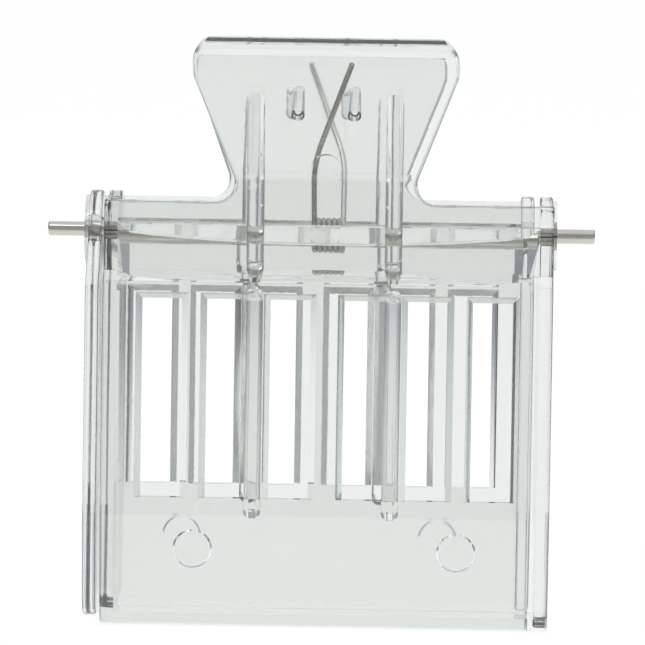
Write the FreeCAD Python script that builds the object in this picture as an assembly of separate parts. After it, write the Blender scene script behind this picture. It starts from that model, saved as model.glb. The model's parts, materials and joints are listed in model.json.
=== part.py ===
import FreeCAD, Part
import math
import os

from FreeCAD import Vector

# Queen cage of the spring-clip kind: two identical clear shells that turn on a steel pin,
# with a torsion spring that holds the jaws shut.
# Millimetres. +X to the right, the front shell faces -Y, +Z up. The origin is on the floor
# under the middle of the pin.

# Overall
HEIGHT = 65.75              # floor to the top corner of the finger tabs, before it is rounded
SHELL_WIDTH = 49.7          # one shell across its two side walls
SHELL_OFFSET = 1.05         # each shell sits this far off centre, so that the walls pass each other
CAGE_DEPTH = 20.0           # outside to outside over the slotted plates
WALL = 1.5

# Hinge
HINGE_Z = 43.7
PIN_RADIUS = 1.0
PIN_BODY_LENGTH = 52.8      # full radius as far as just outside the bosses
PIN_END_RADIUS = 0.82       # the free ends are turned down
PIN_LENGTH = 61.3
PIN_CHAMFER = 0.15
PIN_RUNNING_GAP = 0.05      # radial, in the shell that turns on the pin
EAR_RADIUS = 4.4
EAR_END = math.radians(12)  # the ear's arc ends this far below level on its far side
BOSS_RADIUS = 3.9
BOSS_HEIGHT = 0.45

# Plate: the front view outline and the side view steps
BEND_Z = 12.5               # below this the plate leans inward
BEND_IN = 1.7
SLOT_PANEL_TOP = 38.5
PANEL_STEP = 0.9            # the slotted panel stands this much proud of the shoulder
SHOULDER_Z = 47.3
CREASE_Z = 49.8             # above this the finger tab leans outward
OUTLINE_ROUND = 0.4         # along the outline of the plate
FLOOR_GAP = 0.1             # from the free edge of a floor or roof to the middle plane
ROOF_TOP = 39.8             # the roof closes the cage below the pin
ROOF_THICKNESS = 1.0
ROOF_SIDE_GAP = 0.3         # to the side wall of the other shell

# Finger tab
TAB_CENTRE = -0.4           # tab, fins and pegs sit nearer the cage's middle than the slots do
TAB_LEAN = math.radians(30)
TAB_HALF_WIDTH = 14.5
TAB_CORNER = 3.2
TAB_WIDEST_Z = 61.2
NECK_HALF_WIDTH = 10.1
NECK_FILLET = 2.0
BEAD_THICKNESS = 2.0
BEAD_HEIGHT = 1.5

# Bowed band across the hinge line
BAND_HALF_WIDTH = 23.4
BAND_BOW = 2.2              # in the middle, off the shoulder
BAND_ARC_HALF_WIDTH = 21.9
BAND_ARC_END = 1.1          # the bow still left where the arc stops and the blunt end starts
BAND_UNDERCUT = 0.1         # the upright face goes in by this much per mm downward
BAND_TOP = 44.8
BAND_ROUND = 0.35
BAND_EDGE = 40.0            # lower edge of the upright face, in the middle

# Slots
SLOT_CENTRES = (-18.25, -11.09, -4.07, 4.07, 11.09, 18.25)
SLOT_WIDTH = 4.4
SLOT_BOTTOM = 14.5
SLOT_TOP = 36.5
SLOT_BEVEL = 0.7

# Fins on the outside
FIN_CENTRE = 7.6
FIN_WIDTH = 1.9
FIN_EDGE_ROUND = 0.6
FIN_STAND = 2.0             # how far the fin's edge stands off the slotted panel
FIN_TOP = 59.3
FIN_FOOT = 38.8
BAR_FIN_STAND = 1.3
BAR_FIN_TOP = 38.0
BAR_FIN_TIP = 12.3

# Inside of the shell
PEG_ROOT_RADIUS = 0.75
PEG_TIP_RADIUS = 0.6
PEG_LENGTH = 5.9
PEG_TIP_ROUND = 0.5
PEG_CENTRE = 3.1
PEG_Z = 56.5
PAD_HALF_WIDTH = 1.65
PAD_BOTTOM = 40.8
PAD_TOP = 53.0
PAD_STAND = 0.9
EJECTOR_RADIUS = 2.0
EJECTOR_CENTRE = 14.6
EJECTOR_Z = 8.8
EJECTOR_DEPTH = 0.2

# Side wall
WALL_SET_IN = 0.6           # from the outside of the plate to the near side of a side wall
WALL_ROUND = 0.3
WALL_REACH = 8.0            # how far a side wall runs past the middle plane
WALL_FAR_TOP = 37.8
WALL_TOP_BEVEL = 1.2        # sideways run of the bevel above the far side, and its rise
WALL_TOP_BEVEL_RISE = 1.6
INNER_WALL_SWING = 41.9     # radius of the lower edge about the pin, clears the other floor
OUTER_WALL_SWING = 43.3     # the outer wall passes beside the other floor
WALL_FOOT_ROUND = 2.2

# Spring
WIRE_RADIUS = 0.3
COIL_RADIUS = 1.42          # to the middle of the wire
COIL_TURNS = 5
COIL_PITCH = 0.62
COIL_CENTRE = 0.85
LEG_BEND_Z = 52.0
LEG_END_Z = 62.9
LEG_SWING = 4.15            # sideways run of a leg above its bend
LEG_LEAN = math.radians(33.4)

HALF = SHELL_WIDTH / 2
FACE = -CAGE_DEPTH / 2                       # outside of the slotted panel
SHOULDER_FACE = FACE + PANEL_STEP            # outside of the shoulder
TAB_RISE = HEIGHT - BEAD_THICKNESS * math.sin(TAB_LEAN) - CREASE_Z
TAB_TOP_FACE = SHOULDER_FACE - TAB_RISE * math.tan(TAB_LEAN)
TAB_NORMAL = Vector(0, math.cos(TAB_LEAN), math.sin(TAB_LEAN))
TAB_UP = Vector(0, -math.sin(TAB_LEAN), math.cos(TAB_LEAN))


def corner_arc(before, corner, after, radius):
    """Start, middle and end of the arc that rounds a corner between two lines."""
    backward = (before - corner).normalize()
    forward = (after - corner).normalize()
    half_angle = backward.getAngle(forward) / 2
    back = radius / math.tan(half_angle)
    bisector = (backward + forward).normalize()
    middle = corner + bisector * (radius / math.sin(half_angle) - radius)
    return corner + backward * back, middle, corner + forward * back


def rounded_wire(points, radii):
    """Closed wire through points, each corner rounded by its radius (0 keeps it sharp)."""
    count = len(points)
    arcs = []
    for i, corner in enumerate(points):
        if radii[i]:
            arcs.append(corner_arc(points[i - 1], corner, points[(i + 1) % count], radii[i]))
        else:
            arcs.append((corner, corner, corner))
    edges = []
    for i, (start, middle, end) in enumerate(arcs):
        if radii[i]:
            edges.append(Part.Arc(start, middle, end).toShape())
        following = arcs[(i + 1) % count][0]
        if (following - end).Length > 1e-6:
            edges.append(Part.makeLine(end, following))
    return Part.Wire(edges)


def side_prism(outline, x_low, x_high, radii=None):
    """Solid between two X planes from (y, z) points."""
    points = [Vector(x_low, y, z) for y, z in outline]
    wire = rounded_wire(points, radii or [0] * len(points))
    return Part.Face(wire).extrude(Vector(x_high - x_low, 0, 0))


def front_prism(outline, y_low, y_high, radii=None):
    """Solid between two Y planes from (x, z) points."""
    points = [Vector(x, y_low, z) for x, z in outline]
    wire = rounded_wire(points, radii or [0] * len(points))
    return Part.Face(wire).extrude(Vector(0, y_high - y_low, 0))


def tab_face_y(z):
    """Y of the tab's outer face at a height above the crease."""
    return SHOULDER_FACE - (z - CREASE_Z) * math.tan(TAB_LEAN)


def plate():
    """Lower lip, slotted panel, shoulder and finger tab as one folded sheet."""
    outer_top = Vector(0, TAB_TOP_FACE, CREASE_Z + TAB_RISE)
    inner_top = outer_top + TAB_NORMAL * BEAD_THICKNESS
    bead_foot = inner_top - TAB_UP * BEAD_HEIGHT
    sheet_top = outer_top + TAB_NORMAL * WALL - TAB_UP * (BEAD_HEIGHT + 0.6)
    section = [
        (FACE + BEND_IN, 0),
        (FACE, BEND_Z),
        (FACE, SLOT_PANEL_TOP),
        (SHOULDER_FACE, SLOT_PANEL_TOP + PANEL_STEP),
        (SHOULDER_FACE, CREASE_Z),
        (outer_top.y, outer_top.z),
        (inner_top.y, inner_top.z),
        (bead_foot.y, bead_foot.z),
        (sheet_top.y, sheet_top.z),
        (SHOULDER_FACE + WALL, CREASE_Z + WALL * math.tan(TAB_LEAN / 2)),
        (SHOULDER_FACE + WALL, SLOT_PANEL_TOP + PANEL_STEP),
        (FACE + WALL, SLOT_PANEL_TOP),
        (FACE + WALL, BEND_Z),
        (FACE + BEND_IN + WALL, 0),
    ]
    crown = 0.48 * BEAD_THICKNESS
    section_radii = [0, 2.0, 0.4, 0.4, 2.0, crown, crown, 0, 0, 2.5, 0, 0, 2.0, 0]
    sheet = side_prism(section, -HALF, HALF, section_radii)
    half_tab = [
        (NECK_HALF_WIDTH, SHOULDER_Z),
        (NECK_HALF_WIDTH, CREASE_Z),
        (TAB_HALF_WIDTH, TAB_WIDEST_Z),
        (TAB_HALF_WIDTH, HEIGHT),
    ]
    right = [(HALF, 0), (HALF, SHOULDER_Z)] + [(TAB_CENTRE + x, z) for x, z in half_tab]
    left = [(TAB_CENTRE - x, z) for x, z in reversed(half_tab)] + [(-HALF, SHOULDER_Z), (-HALF, 0)]
    half_radii = [0, 0.5, NECK_FILLET, 1.5, 2.5, TAB_CORNER]
    depth = 2 * CAGE_DEPTH
    outline = front_prism(right + left, -depth, depth, half_radii + list(reversed(half_radii)))
    cut = sheet.common(outline)
    return cut.makeFillet(OUTLINE_ROUND, outline_edges(cut, outline))


def middle_of(edge):
    return edge.valueAt((edge.FirstParameter + edge.LastParameter) / 2)


def outline_edges(sheet, outline):
    """Edges to round: both faces from the shoulder up, only the outer face below it."""
    chosen = []
    for edge in sheet.Edges:
        middle = middle_of(edge)
        through = edge.BoundBox.XLength + edge.BoundBox.ZLength < 0.01
        off_outline = outline.Shells[0].distToShape(Part.Vertex(middle))[0]
        if through or off_outline > 0.001 or middle.z < 0.01:
            continue
        if middle.z > SHOULDER_Z - 0.01 or middle.y < SHOULDER_FACE + 0.01:
            chosen.append(edge)
    return chosen


def bowed_band():
    """Band that bows outward across the hinge line, with a sloping face above and below."""
    back = SHOULDER_FACE + WALL / 3
    arc_y = SHOULDER_FACE - BAND_ARC_END
    left, right = [
        [Vector(side * x, y, BAND_TOP) for x, y in (
            (BAND_HALF_WIDTH, back), (BAND_HALF_WIDTH, SHOULDER_FACE), (BAND_ARC_HALF_WIDTH, arc_y))]
        for side in (-1, 1)
    ]
    middle = Vector(0, SHOULDER_FACE - BAND_BOW, BAND_TOP)
    edges = [Part.Arc(left[2], middle, right[2]).toShape()]
    edges += [Part.makeLine(a, b) for a, b in zip(right[::-1], right[-2::-1])]
    edges.append(Part.makeLine(right[0], left[0]))
    edges += [Part.makeLine(a, b) for a, b in zip(left, left[1:])]
    bow = Part.Face(Part.Wire(edges)).extrude(Vector(0, BAND_UNDERCUT, -1) * (BAND_TOP - SLOT_PANEL_TOP))
    edge_stand = BAND_BOW - BAND_UNDERCUT * (BAND_TOP - BAND_EDGE)
    lower_slope = (BAND_EDGE - SLOT_PANEL_TOP) / (edge_stand - PANEL_STEP)
    slopes = side_prism(
        [
            (back, BAND_TOP),
            (SHOULDER_FACE, BAND_TOP),
            (SHOULDER_FACE - BAND_BOW, BAND_TOP - BAND_BOW),
            (SHOULDER_FACE - BAND_BOW, SLOT_PANEL_TOP + (BAND_BOW - PANEL_STEP) * lower_slope),
            (FACE, SLOT_PANEL_TOP),
            (back, SLOT_PANEL_TOP),
        ],
        -HALF,
        HALF,
    )
    band = bow.common(slopes)
    long_edges = [edge for edge in band.Edges if edge.BoundBox.XLength > BAND_HALF_WIDTH]
    proud_edges = [edge for edge in long_edges if middle_of(edge).y < FACE - 0.1]
    return band.makeFillet(BAND_ROUND, proud_edges)


def side_wall(x_low, swing):
    """Side wall with the round ear about the pin. It runs past the middle plane."""
    ear_near_y = -math.sqrt(EAR_RADIUS ** 2 - (SHOULDER_Z - HINGE_Z) ** 2)
    ear_far = Vector(0, EAR_RADIUS * math.cos(EAR_END), HINGE_Z - EAR_RADIUS * math.sin(EAR_END))
    near_side = [
        Vector(0, -FLOOR_GAP, HINGE_Z - swing),
        Vector(0, -FLOOR_GAP, 0),
        Vector(0, FACE + WALL_SET_IN + BEND_IN, 0),
        Vector(0, FACE + WALL_SET_IN, BEND_Z),
        Vector(0, FACE + WALL_SET_IN, SLOT_PANEL_TOP),
        Vector(0, SHOULDER_FACE + WALL_SET_IN, SLOT_PANEL_TOP + PANEL_STEP),
        Vector(0, SHOULDER_FACE + WALL_SET_IN, SHOULDER_Z),
        Vector(0, ear_near_y, SHOULDER_Z),
    ]
    far_side = [
        ear_far,
        Vector(0, WALL_REACH - WALL_TOP_BEVEL, WALL_FAR_TOP + WALL_TOP_BEVEL_RISE),
        Vector(0, WALL_REACH, WALL_FAR_TOP),
        Vector(0, WALL_REACH, BEND_Z),
    ]
    heel_y = WALL_REACH - BEND_IN
    heel = Vector(0, heel_y, HINGE_Z - math.sqrt(swing ** 2 - heel_y ** 2))
    heel_start, heel_middle, heel_end = corner_arc(far_side[-1], heel, near_side[0], WALL_FOOT_ROUND)
    far_side.append(heel_start)
    edges = [Part.makeLine(a, b) for a, b in zip(near_side, near_side[1:])]
    edges.append(Part.Arc(near_side[-1], Vector(0, 0, HINGE_Z + EAR_RADIUS), ear_far).toShape())
    edges += [Part.makeLine(a, b) for a, b in zip(far_side, far_side[1:])]
    edges.append(Part.Arc(heel_start, heel_middle, heel_end).toShape())
    edges.append(Part.makeLine(heel_end, near_side[0]))
    wall = Part.Face(Part.Wire(edges)).extrude(Vector(WALL, 0, 0))
    rims = []
    for edge in wall.Edges:
        middle = middle_of(edge)
        if edge.BoundBox.XLength < 0.01 and (middle.y > 1 or middle.z > SHOULDER_Z - 0.01):
            rims.append(edge)
    return wall.makeFillet(WALL_ROUND, rims).translated(Vector(x_low, 0, 0))


def floor():
    """Half of the cage's floor, from the plate to the middle plane."""
    outline = [
        (FACE + BEND_IN + WALL / 2, 0),
        (-FLOOR_GAP, 0),
        (-FLOOR_GAP, WALL),
        (FACE + BEND_IN + WALL / 2, WALL),
    ]
    return side_prism(outline, -HALF, HALF)


def roof():
    """Half of the cage's roof, short of the other shell's side wall on its right."""
    free_end = HALF - WALL - 2 * SHELL_OFFSET - ROOF_SIDE_GAP
    outline = [
        (SHOULDER_FACE + WALL / 2, ROOF_TOP - ROOF_THICKNESS),
        (-FLOOR_GAP, ROOF_TOP - ROOF_THICKNESS),
        (-FLOOR_GAP, ROOF_TOP),
        (SHOULDER_FACE + WALL / 2, ROOF_TOP),
    ]
    return side_prism(outline, -HALF + WALL / 2, free_end)


def slot_cutter(centre):
    """Slot with a bevel round its sides and top on the outside."""
    half = SLOT_WIDTH / 2

    def ring(y, grow):
        corners = [
            Vector(centre - half - grow, y, SLOT_BOTTOM),
            Vector(centre + half + grow, y, SLOT_BOTTOM),
            Vector(centre + half + grow, y, SLOT_TOP + grow),
            Vector(centre - half - grow, y, SLOT_TOP + grow),
        ]
        return Part.makePolygon(corners + corners[:1])

    through = Part.makeBox(
        SLOT_WIDTH, CAGE_DEPTH, SLOT_TOP - SLOT_BOTTOM,
        Vector(centre - half, FACE - CAGE_DEPTH / 2, SLOT_BOTTOM),
    )
    reach = SLOT_BEVEL
    bevel = Part.makeLoft([ring(FACE - reach, 2 * reach), ring(FACE + reach, 0)], True)
    return through.fuse(bevel)


def fin(centre, outline, radii, low, high):
    """Upright fin from its side view, with round long edges and round ends in the front view."""
    half = FIN_WIDTH / 2
    body = side_prism(outline, centre - half, centre + half, radii)
    rims = [edge for edge in body.Edges if edge.BoundBox.XLength < 0.01]
    body = body.makeFillet(FIN_EDGE_ROUND, rims)
    front = [(centre - half, low), (centre + half, low), (centre + half, high), (centre - half, high)]
    return body.common(front_prism(front, 2 * FACE, 0, [0.95 * half] * 4))


def tall_fin(centre):
    """Fin that stiffens the bend between the shoulder and the finger tab."""
    edge = FACE - FIN_STAND
    sunk = WALL - FIN_EDGE_ROUND / 4
    outline = [
        (tab_face_y(FIN_TOP), FIN_TOP),
        (edge - 0.4, SHOULDER_Z),
        (edge, FIN_FOOT + FIN_STAND),
        (FACE + 0.4, FIN_FOOT - 0.8),
        (SHOULDER_FACE + sunk, FIN_FOOT),
        (SHOULDER_FACE + sunk, CREASE_Z),
        (tab_face_y(FIN_TOP) + sunk, FIN_TOP),
    ]
    return fin(centre, outline, [0, 4.0, 1.0, 0, 0, 0, 0], FIN_FOOT - 1, FIN_TOP)


def bar_fin(centre):
    """Fin down the bar between two slots."""
    edge = FACE - BAR_FIN_STAND
    outline = [
        (FACE + WALL - 0.1, BAR_FIN_TIP),
        (edge, BAR_FIN_TIP),
        (edge, BAR_FIN_TOP - BAR_FIN_STAND),
        (FACE + 0.4, BAR_FIN_TOP),
        (FACE + WALL - 0.1, BAR_FIN_TOP),
    ]
    return fin(centre, outline, [0, 0.9 * BAR_FIN_STAND, 0.5, 0, 0], BAR_FIN_TIP, BAR_FIN_TOP)


def peg(centre):
    """Peg that keeps a spring leg in place, square to the tab's inner face."""
    root = Vector(centre, tab_face_y(PEG_Z), PEG_Z) + TAB_NORMAL * (WALL - 0.2)
    shaft = Part.makeCone(PEG_ROOT_RADIUS, PEG_TIP_RADIUS, PEG_LENGTH, root, TAB_NORMAL)
    tip = max(shaft.Edges, key=lambda edge: edge.CenterOfMass.y)
    return shaft.makeFillet(PEG_TIP_ROUND, [tip])


def spring_pad():
    """Raised pad with round ends on the inner face, beside the coil."""
    outline = [
        (-PAD_HALF_WIDTH, PAD_BOTTOM),
        (PAD_HALF_WIDTH, PAD_BOTTOM),
        (PAD_HALF_WIDTH, PAD_TOP),
        (-PAD_HALF_WIDTH, PAD_TOP),
    ]
    round_end = PAD_HALF_WIDTH - 0.01
    shape = front_prism(outline, 2 * FACE, 0, [round_end] * 4)
    inner = SHOULDER_FACE + WALL
    crease = CREASE_Z + WALL * math.tan(TAB_LEAN / 2)
    top_y = inner - (PAD_TOP - crease) * math.tan(TAB_LEAN)
    section = [
        (inner - WALL / 2, PAD_BOTTOM),
        (inner + PAD_STAND, PAD_BOTTOM),
        (inner + PAD_STAND, crease),
        (top_y + PAD_STAND, PAD_TOP),
        (top_y - WALL / 2, PAD_TOP),
        (inner - WALL / 2, crease),
    ]
    pad = shape.common(side_prism(section, -2 * PAD_HALF_WIDTH, 2 * PAD_HALF_WIDTH))
    return pad.translated(Vector(TAB_CENTRE, 0, 0))


def ejector_mark(side):
    """Shallow round mark with a sloping rim, on the inside of the lower lip."""
    lean = math.atan2(BEND_IN, BEND_Z)
    normal = Vector(0, math.cos(lean), math.sin(lean))
    face_y = FACE + WALL / math.cos(lean) + BEND_IN * (1 - EJECTOR_Z / BEND_Z)
    start = Vector(side * EJECTOR_CENTRE, face_y, EJECTOR_Z) - normal * EJECTOR_DEPTH
    return Part.makeCone(EJECTOR_RADIUS, EJECTOR_RADIUS + WALL, WALL, start, normal)


def shell(hole_radius):
    """One shell in its own frame, centred on X = 0 and facing -Y."""
    body = plate()
    pieces = [bowed_band(), floor(), roof(), spring_pad(),
              side_wall(-HALF, INNER_WALL_SWING), side_wall(HALF - WALL, OUTER_WALL_SWING)]
    for side in (-1, 1):
        pieces.append(tall_fin(TAB_CENTRE + side * FIN_CENTRE))
        pieces.append(bar_fin(TAB_CENTRE + side * FIN_CENTRE))
        pieces.append(peg(TAB_CENTRE + side * PEG_CENTRE))
    pieces.append(Part.makeCylinder(
        BOSS_RADIUS, BOSS_HEIGHT + WALL / 2, Vector(HALF - WALL / 2, 0, HINGE_Z), Vector(1, 0, 0)))
    body = body.fuse(pieces)
    cutters = [slot_cutter(centre) for centre in SLOT_CENTRES]
    cutters += [ejector_mark(side) for side in (-1, 1)]
    cutters.append(Part.makeCylinder(
        hole_radius, 2 * SHELL_WIDTH, Vector(-SHELL_WIDTH, 0, HINGE_Z), Vector(1, 0, 0)))
    return body.cut(cutters).removeSplitter()


def hinge_pin():
    """Steel pin. Its free ends, outside the shells, are thinner and chamfered."""
    def bar(radius, length):
        return Part.makeCylinder(radius, length, Vector(-length / 2, 0, HINGE_Z), Vector(1, 0, 0))

    ends = bar(PIN_END_RADIUS, PIN_LENGTH)
    rims = [edge for edge in ends.Edges if edge.Curve.TypeId == "Part::GeomCircle"]
    return ends.makeChamfer(PIN_CHAMFER, rims).fuse(bar(PIN_RADIUS, PIN_BODY_LENGTH))


def rod(start, end):
    """Round wire between two points, with round ends."""
    along = end - start
    straight = Part.makeCylinder(WIRE_RADIUS, along.Length, start, along)
    caps = [Part.makeSphere(WIRE_RADIUS, point) for point in (start, end)]
    return straight.fuse(caps)


def spring_leg():
    """Leg that rises from the left end of the coil and presses on the front tab."""
    length = COIL_TURNS * COIL_PITCH
    left = -length / 2
    away = Vector(0, math.cos(LEG_LEAN), math.sin(LEG_LEAN)) * COIL_RADIUS
    up = Vector(0, -math.sin(LEG_LEAN), math.cos(LEG_LEAN))
    start = Vector(left, 0, HINGE_Z) - away
    bend = start + up * ((LEG_BEND_Z - start.z) / up.z)
    end = start + up * ((LEG_END_Z - start.z) / up.z) + Vector(LEG_SWING, 0, 0)
    return start, [rod(start, bend), rod(bend, end)]


def torsion_spring():
    """Coil round the pin and two legs, the same after half a turn about Z."""
    length = COIL_TURNS * COIL_PITCH
    start, leg = spring_leg()
    start_angle = math.degrees(math.atan2(start.z - HINGE_Z, start.y))
    other_angle = 180 - start_angle
    sweep = (other_angle - start_angle) % 360
    turns = COIL_TURNS + sweep / 360
    helix = Part.makeHelix(length / turns, length, COIL_RADIUS)
    profile = Part.Wire(Part.makeCircle(
        WIRE_RADIUS, Vector(COIL_RADIUS, 0, 0), Vector(0, 1, 0)))
    coil = Part.Wire(helix.Edges).makePipeShell([profile], True, True)
    coil.rotate(Vector(0, 0, 0), Vector(0, 1, 0), 90)
    coil.rotate(Vector(0, 0, 0), Vector(1, 0, 0), start_angle + 90)
    coil.translate(Vector(-length / 2, 0, HINGE_Z))
    other = []
    for piece in leg:
        other.append(turned_about_z(piece))
    spring = coil.fuse(leg + other)
    return spring.translated(Vector(COIL_CENTRE, 0, 0))


def turned_about_z(shape):
    turned = shape.copy()
    turned.rotate(Vector(0, 0, 0), Vector(0, 0, 1), 180)
    return turned


def build():
    offset = Vector(SHELL_OFFSET, 0, 0)
    front = shell(PIN_RADIUS).translated(offset)
    back = turned_about_z(shell(PIN_RADIUS + PIN_RUNNING_GAP).translated(offset))
    return {
        "front_shell": front,
        "back_shell": back,
        "hinge_pin": hinge_pin(),
        "torsion_spring": torsion_spring(),
    }


os.makedirs("parts", exist_ok=True)
for name, shape in build().items():
    shape.exportStep(os.path.join("parts", name + ".step"))
    box = shape.BoundBox
    print(name, "solids", len(shape.Solids), "valid", shape.isValid(), "volume", round(shape.Volume, 1),
          "x", round(box.XMin, 2), round(box.XMax, 2), "y", round(box.YMin, 2), round(box.YMax, 2),
          "z", round(box.ZMin, 2), round(box.ZMax, 2))
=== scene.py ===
import json
import math

import bpy
from mathutils import Matrix, Vector


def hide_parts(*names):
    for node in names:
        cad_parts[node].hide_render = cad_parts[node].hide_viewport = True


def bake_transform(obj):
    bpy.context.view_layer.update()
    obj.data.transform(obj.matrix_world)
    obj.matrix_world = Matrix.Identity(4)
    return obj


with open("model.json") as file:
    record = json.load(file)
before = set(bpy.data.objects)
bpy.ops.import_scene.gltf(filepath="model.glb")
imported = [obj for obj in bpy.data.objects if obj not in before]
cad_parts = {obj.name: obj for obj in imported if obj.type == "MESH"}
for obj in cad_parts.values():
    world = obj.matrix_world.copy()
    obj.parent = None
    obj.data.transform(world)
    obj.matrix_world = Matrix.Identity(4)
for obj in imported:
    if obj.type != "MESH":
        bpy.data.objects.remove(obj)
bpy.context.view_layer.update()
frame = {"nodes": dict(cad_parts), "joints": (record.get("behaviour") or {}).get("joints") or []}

# ---------------------------------------------------------------- sizes, in metres

MM = 0.001
HINGE = Vector(frame["joints"][0]["pos_m"])

# Spring, as the coil lies on the pin
WIRE_RADIUS = 0.3 * MM
COIL_RADIUS = 1.42 * MM
COIL_TURNS = 5
COIL_PITCH = 0.62 * MM
COIL_CENTRE = 0.85 * MM
LEG_BEND_RISE = 8.3 * MM     # above the pin
LEG_END_RISE = 19.2 * MM
LEG_SWING = 4.15 * MM
LEG_LEAN = math.radians(33.4)
LEG_BEND_ROUND = 2.6 * MM
SHADE_DEPTH = 3 * MM          # painted shade: the wire is fully darkened this far in front of the pin, and keeps its own colour this far behind

# Camera
CAMERA_PLACE = Vector((13.6, -530.0, 61.0)) * MM
TURN_LEFT = math.radians(1.4385)
TURN_DOWN = math.radians(2.9597)
ROLL = math.radians(0.9)
SENSOR_WIDTH = 36.0          # millimetres, as is the focal length
FOCAL_LENGTH = 263.83

# Stage and light
SWEEP_RADIUS = 1.8
SWEEP_CURVE = 0.6
SWEEP_HEIGHT = 0.9
SWEEP_CENTRE_RADIUS = 1 * MM
BACK_LEVEL = 0.93
FRONT_LEVEL = 0.35
SIDE_LEVEL = 0.3
FLOOR_DIM_FROM = -0.14
FLOOR_BRIGHT_FROM = -0.02
SIDE_BRIGHT_TO = 0.17
SIDE_DIM_FROM = 0.7
DIM_TINT = (0.62, 0.70, 0.90, 1.0)
STAGE_BASE = (0.08, 0.08, 0.08, 1.0)     # dark, because the stage's light is its own glow
WHITE = (1.0, 1.0, 1.0, 1.0)
SKY_TINT = (0.8, 0.82, 0.86, 1.0)
LIGHT_TARGET = (0, 0, 0.03)

# Materials
PLASTIC_TINT = (0.885, 0.907, 0.89, 1.0)
PLASTIC_SHADOW_TINT = (0.88, 0.9, 0.89, 1.0)
PLASTIC_CLARITY = 0.955
POLYSTYRENE_IOR = 1.58
PIN_COLOUR = (0.72, 0.69, 0.63)
SPRING_COLOUR = (0.78, 0.78, 0.72)
# Painted shade: the dark colour the spring wire is given in front of the pin
SPRING_SHADE_COLOUR = (0.30, 0.28, 0.23)
STEEL_SHADE = 0.82           # the darkest spots on steel, as a share of its colour


# ---------------------------------------------------------------- node helpers


class Nodes:
    """Short way to add and link nodes in one material or world."""

    def __init__(self, tree):
        self.tree = tree
        tree.nodes.clear()

    def add(self, kind, **values):
        node = self.tree.nodes.new(kind)
        for name, value in values.items():
            if hasattr(node, name) and name not in node.inputs:
                setattr(node, name, value)
            else:
                node.inputs[name].default_value = value
        return node

    def link(self, source, target):
        self.tree.links.new(source, target)

    def spread(self, source, start, end, low=0.0, high=1.0, kind="LINEAR"):
        """Output that goes from low to high as the source goes from start to end."""
        node = self.add("ShaderNodeMapRange", interpolation_type=kind)
        for name, value in (("From Min", start), ("From Max", end), ("To Min", low), ("To Max", high)):
            node.inputs[name].default_value = value
        self.link(source, node.inputs["Value"])
        return node.outputs["Result"]

    def stretched(self, scale, place):
        """Object coordinates, scaled by one number for each axis."""
        node = self.add("ShaderNodeMapping")
        node.inputs["Scale"].default_value = scale
        self.link(place.outputs["Object"], node.inputs["Vector"])
        return node.outputs["Vector"]

    def finish(self, shader, kind="ShaderNodeOutputMaterial"):
        """Connect the last shader to the material's or the world's output."""
        self.link(shader, self.add(kind).inputs["Surface"])


def new_material(name):
    """Empty node material and its node helper."""
    material = bpy.data.materials.new(name)
    material.use_nodes = True
    return material, Nodes(material.node_tree)


# ---------------------------------------------------------------- materials


def clear_plastic():
    """Moulded clear polystyrene: faint flow marks, a slight haze and fine scuffs."""
    material, n = new_material("clear_plastic")
    place = n.add("ShaderNodeTexCoord")
    waves = n.add("ShaderNodeTexNoise", Scale=1.0, Detail=2.0, Roughness=0.4)
    n.link(n.stretched((90.0, 90.0, 25.0), place), waves.inputs["Vector"])
    grain = n.add("ShaderNodeTexNoise", Scale=2600.0, Detail=3.0, Roughness=0.6)
    n.link(place.outputs["Object"], grain.inputs["Vector"])
    rough = n.spread(waves.outputs["Fac"], 0.35, 0.75, 0.015, 0.07)
    wavy = n.add("ShaderNodeBump", Strength=0.25, Distance=0.0004)
    n.link(waves.outputs["Fac"], wavy.inputs["Height"])
    fine = n.add("ShaderNodeBump", Strength=0.03, Distance=0.00005)
    n.link(grain.outputs["Fac"], fine.inputs["Height"])
    n.link(wavy.outputs["Normal"], fine.inputs["Normal"])
    plastic = n.add("ShaderNodeBsdfPrincipled")
    plastic.inputs["Base Color"].default_value = PLASTIC_TINT
    plastic.inputs["Transmission Weight"].default_value = PLASTIC_CLARITY
    plastic.inputs["IOR"].default_value = POLYSTYRENE_IOR
    n.link(rough, plastic.inputs["Roughness"])
    n.link(fine.outputs["Normal"], plastic.inputs["Normal"])
    shade = n.add("ShaderNodeBsdfTransparent")
    shade.inputs["Color"].default_value = PLASTIC_SHADOW_TINT
    path = n.add("ShaderNodeLightPath")
    mix = n.add("ShaderNodeMixShader")
    n.link(path.outputs["Is Shadow Ray"], mix.inputs["Fac"])
    n.link(plastic.outputs["BSDF"], mix.inputs[1])
    n.link(shade.outputs["BSDF"], mix.inputs[2])
    n.finish(mix.outputs["Shader"])
    return material


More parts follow.
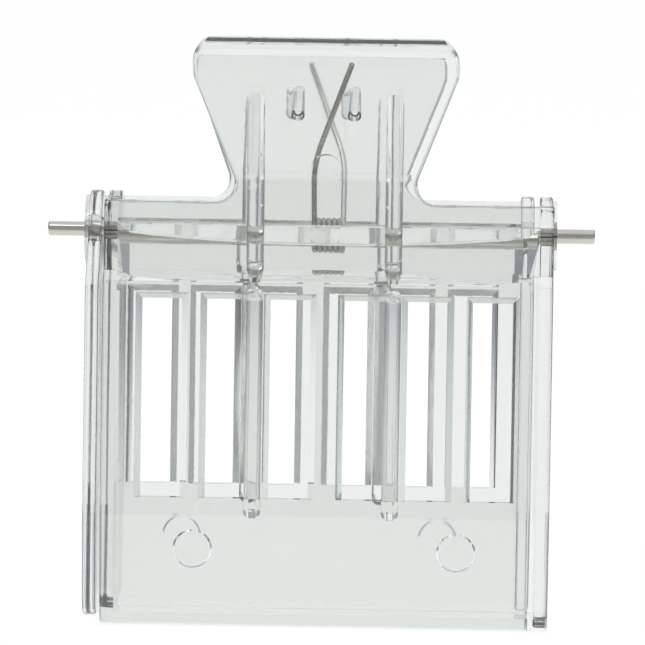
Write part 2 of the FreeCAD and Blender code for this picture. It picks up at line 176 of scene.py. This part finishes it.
def drawn_steel(name, colour, low, high, front_shade=None):
    """Drawn wire: fine lines along its length and small changes of tone, with any painted shade darkening its
    front.

    low and high are the least and most roughness.
    """
    material, n = new_material(name)
    place = n.add("ShaderNodeTexCoord")
    lines = n.add("ShaderNodeTexNoise", Scale=1.0, Detail=3.0, Roughness=0.6)
    n.link(n.stretched((120.0, 2400.0, 2400.0), place), lines.inputs["Vector"])
    spots = n.add("ShaderNodeTexNoise", Scale=700.0, Detail=2.0)
    n.link(place.outputs["Object"], spots.inputs["Vector"])
    tone = n.add("ShaderNodeMix", data_type="RGBA")
    tone.inputs["A"].default_value = (*(c * STEEL_SHADE for c in colour), 1.0)
    tone.inputs["B"].default_value = (*colour, 1.0)
    n.link(spots.outputs["Fac"], tone.inputs["Factor"])
    rough = n.spread(lines.outputs["Fac"], 0, 1, low, high)
    bump = n.add("ShaderNodeBump", Strength=0.12, Distance=0.00002)
    n.link(lines.outputs["Fac"], bump.inputs["Height"])
    metal = n.add("ShaderNodeBsdfPrincipled", Metallic=1.0)
    shown = tone.outputs["Result"]
    # Painted shade: the wire turns to the dark colour towards its front, in front of the pin
    if front_shade:
        split = n.add("ShaderNodeSeparateXYZ")
        n.link(place.outputs["Object"], split.inputs["Vector"])
        front_shaded = n.add("ShaderNodeMix", data_type="RGBA")
        front_shaded.inputs["A"].default_value = (*front_shade, 1.0)
        n.link(n.spread(split.outputs["Y"], -SHADE_DEPTH, SHADE_DEPTH), front_shaded.inputs["Factor"])
        n.link(shown, front_shaded.inputs["B"])
        shown = front_shaded.outputs["Result"]
    n.link(shown, metal.inputs["Base Color"])
    n.link(rough, metal.inputs["Roughness"])
    n.link(bump.outputs["Normal"], metal.inputs["Normal"])
    n.finish(metal.outputs["BSDF"])
    return material


def painted_glow_stage():
    """White sweep lit by painted light of its own glow: brightest behind the object, dimmer to the front and
    the sides.
    """
    material, n = new_material("stage_painted_glow")
    place = n.add("ShaderNodeTexCoord")
    split = n.add("ShaderNodeSeparateXYZ")
    n.link(place.outputs["Object"], split.inputs["Vector"])
    depth = n.spread(
        split.outputs["Y"], FLOOR_DIM_FROM, FLOOR_BRIGHT_FROM, FRONT_LEVEL, BACK_LEVEL, "SMOOTHSTEP")
    across = n.add("ShaderNodeMath", operation="ABSOLUTE")
    n.link(split.outputs["X"], across.inputs[0])
    side = n.spread(
        across.outputs["Value"], SIDE_BRIGHT_TO, SIDE_DIM_FROM, 1.0, SIDE_LEVEL, "SMOOTHSTEP")
    level = n.add("ShaderNodeMath", operation="MULTIPLY")
    n.link(depth, level.inputs[0])
    n.link(side, level.inputs[1])
    sheet = n.add("ShaderNodeBsdfPrincipled", Roughness=0.95)
    sheet.inputs["Base Color"].default_value = STAGE_BASE
    tint = n.add("ShaderNodeMix", data_type="RGBA")
    tint.inputs["A"].default_value = DIM_TINT
    tint.inputs["B"].default_value = WHITE
    n.link(side, tint.inputs["Factor"])
    # Painted light: the sheet glows by itself, brighter behind, dimmer and bluer to the front and sides
    n.link(tint.outputs["Result"], sheet.inputs["Emission Color"])
    n.link(level.outputs["Value"], sheet.inputs["Emission Strength"])
    n.finish(sheet.outputs["BSDF"])
    return material


def dress(obj, material):
    """Give an object this material alone."""
    obj.data.materials.clear()
    obj.data.materials.append(material)


# ---------------------------------------------------------------- spring


def spring_route():
    """Middle line of the wire: the front leg down to the coil, the coil from left to right, the back leg."""
    length = COIL_TURNS * COIL_PITCH
    out = Vector((0, math.cos(LEG_LEAN), math.sin(LEG_LEAN))) * COIL_RADIUS
    up = Vector((0, -math.sin(LEG_LEAN), math.cos(LEG_LEAN)))
    start = Vector((-length / 2, 0, 0)) - out
    bend = start + up * ((LEG_BEND_RISE - start.z) / up.z)
    end = start + up * ((LEG_END_RISE - start.z) / up.z) + Vector((LEG_SWING, 0, 0))
    front_leg = [end]
    before = (end - bend).normalized() * LEG_BEND_ROUND
    after = (start - bend).normalized() * LEG_BEND_ROUND
    steps = 8
    for i in range(steps + 1):
        t = i / steps
        front_leg.append(bend + before * (1 - t) ** 2 + after * t ** 2)
    front_leg.append(start)
    first = math.atan2(start.z, start.y)
    turn = Matrix.Rotation(math.pi, 3, "Z")
    last_point = turn @ start
    part_turn = (math.atan2(last_point.z, last_point.y) - first) % math.tau
    total = part_turn + COIL_TURNS * math.tau
    points_per_turn = 32
    count = round(total / math.tau * points_per_turn)
    coil = []
    for i in range(1, count):
        t = i / count
        angle = first + total * t
        coil.append(Vector((
            -length / 2 + length * t, COIL_RADIUS * math.cos(angle), COIL_RADIUS * math.sin(angle))))
    back_leg = [turn @ p for p in reversed(front_leg)]
    shift = HINGE + Vector((COIL_CENTRE, 0, 0))
    return [p + shift for p in front_leg + coil + back_leg]


def tube_mesh(name, route, radius, sides=14):
    """Closed tube along a route, its rings carried along without twist."""
    rings = []
    count = len(route)
    tangent = (route[1] - route[0]).normalized()
    normal = tangent.orthogonal().normalized()
    for i, point in enumerate(route):
        ahead = route[min(i + 1, count - 1)]
        behind = route[max(i - 1, 0)]
        following = (ahead - behind).normalized()
        normal = (tangent.rotation_difference(following) @ normal).normalized()
        tangent = following
        side = tangent.cross(normal)
        rings.append([
            point + radius * (math.cos(a) * normal + math.sin(a) * side)
            for a in (math.tau * k / sides for k in range(sides))
        ])
    verts = [v for ring in rings for v in ring]
    faces = []
    for i in range(count - 1):
        for k in range(sides):
            a, b = i * sides + k, i * sides + (k + 1) % sides
            faces.append((a, b, b + sides, a + sides))
    faces.append(tuple(reversed(range(sides))))
    faces.append(tuple(range((count - 1) * sides, count * sides)))
    mesh = bpy.data.meshes.new(name)
    mesh.from_pydata([tuple(v) for v in verts], [], faces)
    mesh.validate()
    for face in mesh.polygons:
        face.use_smooth = len(face.vertices) == 4
    obj = bpy.data.objects.new(name, mesh)
    bpy.context.scene.collection.objects.link(obj)
    return obj


# ---------------------------------------------------------------- stage, light, camera


def sweep():
    """Round floor that curves up into a low wall."""
    profile = [(SWEEP_CENTRE_RADIUS, 0.0), (SWEEP_RADIUS - SWEEP_CURVE, 0.0)]
    steps = 12
    for i in range(1, steps + 1):
        a = math.pi / 2 * i / steps
        profile.append((
            SWEEP_RADIUS - SWEEP_CURVE + SWEEP_CURVE * math.sin(a), SWEEP_CURVE * (1 - math.cos(a))))
    profile.append((SWEEP_RADIUS, SWEEP_HEIGHT))
    sides = 96
    verts = [
        (r * math.cos(math.tau * k / sides), r * math.sin(math.tau * k / sides), z)
        for r, z in profile for k in range(sides)
    ]
    faces = [tuple(range(sides))]
    for i in range(len(profile) - 1):
        for k in range(sides):
            a, b = i * sides + k, i * sides + (k + 1) % sides
            faces.append((a, a + sides, b + sides, b))
    mesh = bpy.data.meshes.new("ground")
    mesh.from_pydata(verts, [], faces)
    for face in mesh.polygons:
        face.use_smooth = True
    obj = bpy.data.objects.new("ground", mesh)
    bpy.context.scene.collection.objects.link(obj)
    return obj


def area_light(name, place, side, power):
    """Square lamp, turned towards the object."""
    light = bpy.data.lights.new(name, "AREA")
    light.shape = "RECTANGLE"
    light.size = side
    light.size_y = side
    light.energy = power
    obj = bpy.data.objects.new(name, light)
    obj.location = place
    obj.rotation_euler = (Vector(LIGHT_TARGET) - Vector(place)).to_track_quat("-Z", "Y").to_euler()
    bpy.context.scene.collection.objects.link(obj)


def studio_world():
    """Soft surround: white behind, pale blue above, dimmer to the front and sides, so that clear edges show."""
    world = bpy.data.worlds.new("studio")
    bpy.context.scene.world = world
    world.use_nodes = True
    n = Nodes(world.node_tree)
    place = n.add("ShaderNodeTexCoord")
    split = n.add("ShaderNodeSeparateXYZ")
    n.link(place.outputs["Generated"], split.inputs["Vector"])
    ramp = n.add("ShaderNodeValToRGB")
    stops = ramp.color_ramp.elements
    stops[0].position = 0.0
    stops[0].color = (FRONT_LEVEL, FRONT_LEVEL, FRONT_LEVEL, 1)
    stops[1].position = 0.9
    stops[1].color = WHITE
    dim = stops.new(0.45)
    dim.color = tuple(SIDE_LEVEL * c for c in DIM_TINT[:3]) + (1,)
    n.link(n.spread(split.outputs["Y"], -1.0, 1.0), ramp.inputs["Fac"])
    mix = n.add("ShaderNodeMix", data_type="RGBA")
    mix.inputs["B"].default_value = SKY_TINT
    n.link(n.spread(split.outputs["Z"], 0.45, 0.95, kind="SMOOTHSTEP"), mix.inputs["Factor"])
    n.link(ramp.outputs["Color"], mix.inputs["A"])
    back = n.add("ShaderNodeBackground", Strength=1.0)
    n.link(mix.outputs["Result"], back.inputs["Color"])
    n.finish(back.outputs["Background"], "ShaderNodeOutputWorld")


def camera():
    """Camera in front and a little to the right, looking down at the cage and slightly tilted."""
    data = bpy.data.cameras.new("camera")
    data.sensor_width = SENSOR_WIDTH
    data.lens = FOCAL_LENGTH
    data.clip_start = 0.01
    data.clip_end = 20
    obj = bpy.data.objects.new("camera", data)
    aim = Vector((-math.tan(TURN_LEFT), 1, -math.tan(TURN_DOWN)))
    level = aim.to_track_quat("-Z", "Y").to_matrix()
    obj.matrix_world = Matrix.Translation(CAMERA_PLACE) @ (
        level @ Matrix.Rotation(ROLL, 3, "Z")).to_4x4()
    bpy.context.scene.collection.objects.link(obj)
    bpy.context.scene.camera = obj


# ---------------------------------------------------------------- assembly

camera()
studio_world()
bpy.context.scene.view_settings.view_transform = "Standard"

plastic = clear_plastic()
for node in ("front_shell", "back_shell"):
    dress(frame["nodes"][node], plastic)
dress(frame["nodes"]["hinge_pin"], drawn_steel("pin_steel", PIN_COLOUR, 0.1, 0.2))

spring = tube_mesh("spring_wire", spring_route(), WIRE_RADIUS)
# The spring wire gets painted shade on its front, and its own steel colour behind
dress(spring, drawn_steel("spring_steel", SPRING_COLOUR, 0.15, 0.35, front_shade=SPRING_SHADE_COLOUR))
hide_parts("torsion_spring")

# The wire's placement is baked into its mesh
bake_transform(spring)

ground = sweep()
dress(ground, painted_glow_stage())

area_light("key", (-0.35, -0.6, 0.75), side=0.5, power=1.6)
area_light("fill", (0.7, -0.4, 0.5), side=0.4, power=0.6)
